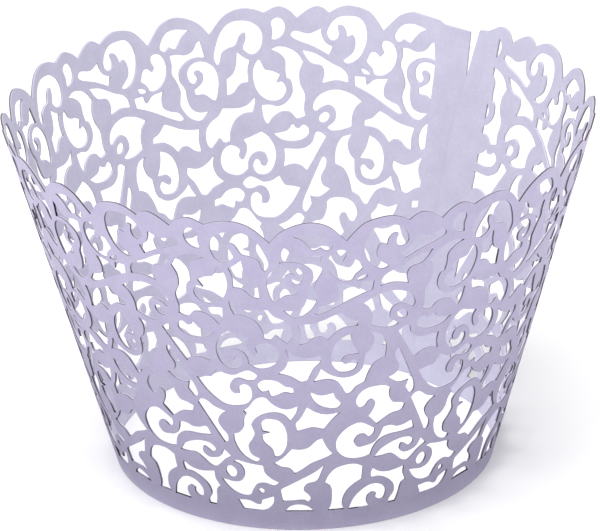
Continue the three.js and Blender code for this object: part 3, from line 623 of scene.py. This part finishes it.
def burnt_edge():
    """The cut edge: burnt where the laser went in, paler below, brown at the rim and charred in corners,
    and painted paler where it faces up, as painted light from above.
    The burn, the brown and the char are all strongest at the front of the wrapper and fade towards the
    back."""
    material, tree, shader = nodes_of("laser_cut_edge")
    geometry = tree.nodes.new("ShaderNodeNewGeometry")
    painted_light_facing = tree.nodes.new("ShaderNodeSeparateXYZ")
    tree.links.new(geometry.outputs["True Normal"], painted_light_facing.inputs["Vector"])
    coordinates = tree.nodes.new("ShaderNodeTexCoord")
    place = tree.nodes.new("ShaderNodeSeparateXYZ")
    tree.links.new(coordinates.outputs["Object"], place.inputs["Vector"])
    # Darker at the front of the wrapper, fading towards the back
    darker_to_front = spread(tree, place.outputs["Y"], 0, 0.02, 1, 0.25)
    smoke_grain_front_weighted = times(tree, darker_to_front, spread(tree, grain(tree, 800, 3), 0.3, 0.65, 0.7, 1))
    burn = times(tree, spread(tree, attribute(tree, "depth"), 0.4, 0.95, 1, 0.2), smoke_grain_front_weighted)
    # Painted light: cut edges that face up are painted paler, as if lit from above
    burn = times(tree, burn, spread(tree, painted_light_facing.outputs["Z"], 0.3, 0.85, 1, 0))
    brown_rim = spread(tree, attribute(tree, "scorch"), -0.9, -0.1, 1, 0)
    burn = times(tree, burn, spread(tree, brown_rim, 0, 1, 1, 0.25))
    tone = blended(tree, burn, EDGE_CORE, EDGE_BURN)
    lip = times(tree, spread(tree, attribute(tree, "depth"), 0.35, 0.7, 0.9, 0), smoke_grain_front_weighted)
    tone = blended(tree, lip, tone, EDGE_BURN)
    brown = times(tree, spread(tree, attribute(tree, "depth"), 0.5, 0.9, 1, 0.2), brown_rim)
    brown = times(tree, brown, darker_to_front)
    brown = times(tree, brown, spread(tree, grain(tree, 70, 2), 0.4, 0.6, 0.6, 1))
    tone = blended(tree, brown, tone, RIM_BROWN)
    char = times(tree, spread(tree, attribute(tree, "scorch"), 0.3, 0.85),
                 spread(tree, grain(tree, 350, 2), 0.38, 0.54))
    char = times(tree, char, darker_to_front)
    tree.links.new(blended(tree, char, tone, EDGE_CHAR), shader.inputs["Base Color"])
    shader.inputs["Roughness"].default_value = 0.85
    shader.inputs["Specular IOR Level"].default_value = 0.2
    bumped(tree, shader, grain(tree, 5200, 2), 0.5, 0.00004)
    return material


def lace_piece():
    bm = bmesh.new()
    rolled_sheet(bm)
    mesh = bpy.data.meshes.new("lace_card")
    bm.to_mesh(mesh)
    bm.free()
    mesh.materials.append(pearl_card())
    mesh.materials.append(burnt_edge())
    for face in mesh.polygons:
        middle = face.center
        outward = Vector((middle.x, middle.y, -SLOPE * middle.xy.length)).normalized()
        face.material_index = 1 if abs(face.normal.dot(outward)) < CUT_FACE else 0
    mesh.shade_smooth()
    mesh.set_sharp_from_angle(angle=math.radians(SHARP_EDGE))
    piece = bpy.data.objects.new("lace_card", mesh)
    bpy.context.collection.objects.link(piece)
    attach(piece, "root")
    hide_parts("lace_wrapper")


def floor():
    bm = bmesh.new()
    bmesh.ops.create_grid(bm, x_segments=1, y_segments=1, size=FLOOR_REACH)
    bmesh.ops.translate(bm, verts=bm.verts, vec=(0, 0, -FLOOR_DROP))
    mesh = bpy.data.meshes.new("floor")
    bm.to_mesh(mesh)
    bm.free()
    material, tree, shader = nodes_of("white_floor")
    shader.inputs["Roughness"].default_value = 0.9
    shader.inputs["Specular IOR Level"].default_value = 0
    place = tree.nodes.new("ShaderNodeTexCoord")
    reach = tree.nodes.new("ShaderNodeVectorMath")
    reach.operation = "LENGTH"
    tree.links.new(place.outputs["Object"], reach.inputs[0])
    # Painted shadow: a dark ring round the foot, seen only by bounce light, not by the camera
    bounce = blended(tree, spread(tree, reach.outputs["Value"], *FLOOR_SHADOW_RING), FLOOR_PAINTED_SHADOW, FLOOR_BOUNCE)
    bounce = blended(tree, spread(tree, reach.outputs["Value"], *FLOOR_INSIDE), FLOOR_BOUNCE, bounce)
    ray = tree.nodes.new("ShaderNodeLightPath")
    tone = blended(tree, ray.outputs["Is Camera Ray"], bounce, FLOOR_TONE)
    tree.links.new(tone, shader.inputs["Base Color"])
    mesh.materials.append(material)
    plane = bpy.data.objects.new("floor", mesh)
    bpy.context.collection.objects.link(plane)


def lamp(name, place, size, power):
    data = bpy.data.lights.new(name, "AREA")
    data.shape = "DISK"
    data.size = size
    data.energy = power
    light = bpy.data.objects.new(name, data)
    light.location = place
    light.rotation_euler = (Vector(place) - LAMP_AIM).to_track_quat("Z", "Y").to_euler()
    bpy.context.collection.objects.link(light)


def studio():
    world = bpy.data.worlds.new("studio")
    world.use_nodes = True
    world.node_tree.nodes["Background"].inputs["Color"].default_value = (1, 1, 1, 1)
    world.node_tree.nodes["Background"].inputs["Strength"].default_value = WORLD_LIGHT
    bpy.context.scene.world = world
    bpy.context.scene.view_settings.view_transform = "Standard"
    lamp("key", KEY_PLACE, KEY_SIZE, KEY_POWER)
    across, forward, up = FILL_PLACE
    for side in (-1, 1):
        lamp("fill", (side * across, forward, up), FILL_SIZE, FILL_POWER)


def camera():
    data = bpy.data.cameras.new("camera")
    data.lens = CAMERA_LENS
    data.sensor_width = CAMERA_SENSOR
    data.clip_start = 0.01
    elevation = math.radians(CAMERA_ELEVATION)
    seat = bpy.data.objects.new("camera", data)
    back = Vector((0, -math.cos(elevation), math.sin(elevation)))
    turn = back.to_track_quat("Z", "Y").to_matrix() @ Matrix.Rotation(math.radians(CAMERA_ROLL), 3, "Z")
    seat.matrix_world = Matrix.Translation(CAMERA_TARGET + back * CAMERA_DISTANCE) @ turn.to_4x4()
    bpy.context.collection.objects.link(seat)
    bpy.context.scene.camera = seat


camera()
lace_piece()
floor()
studio()
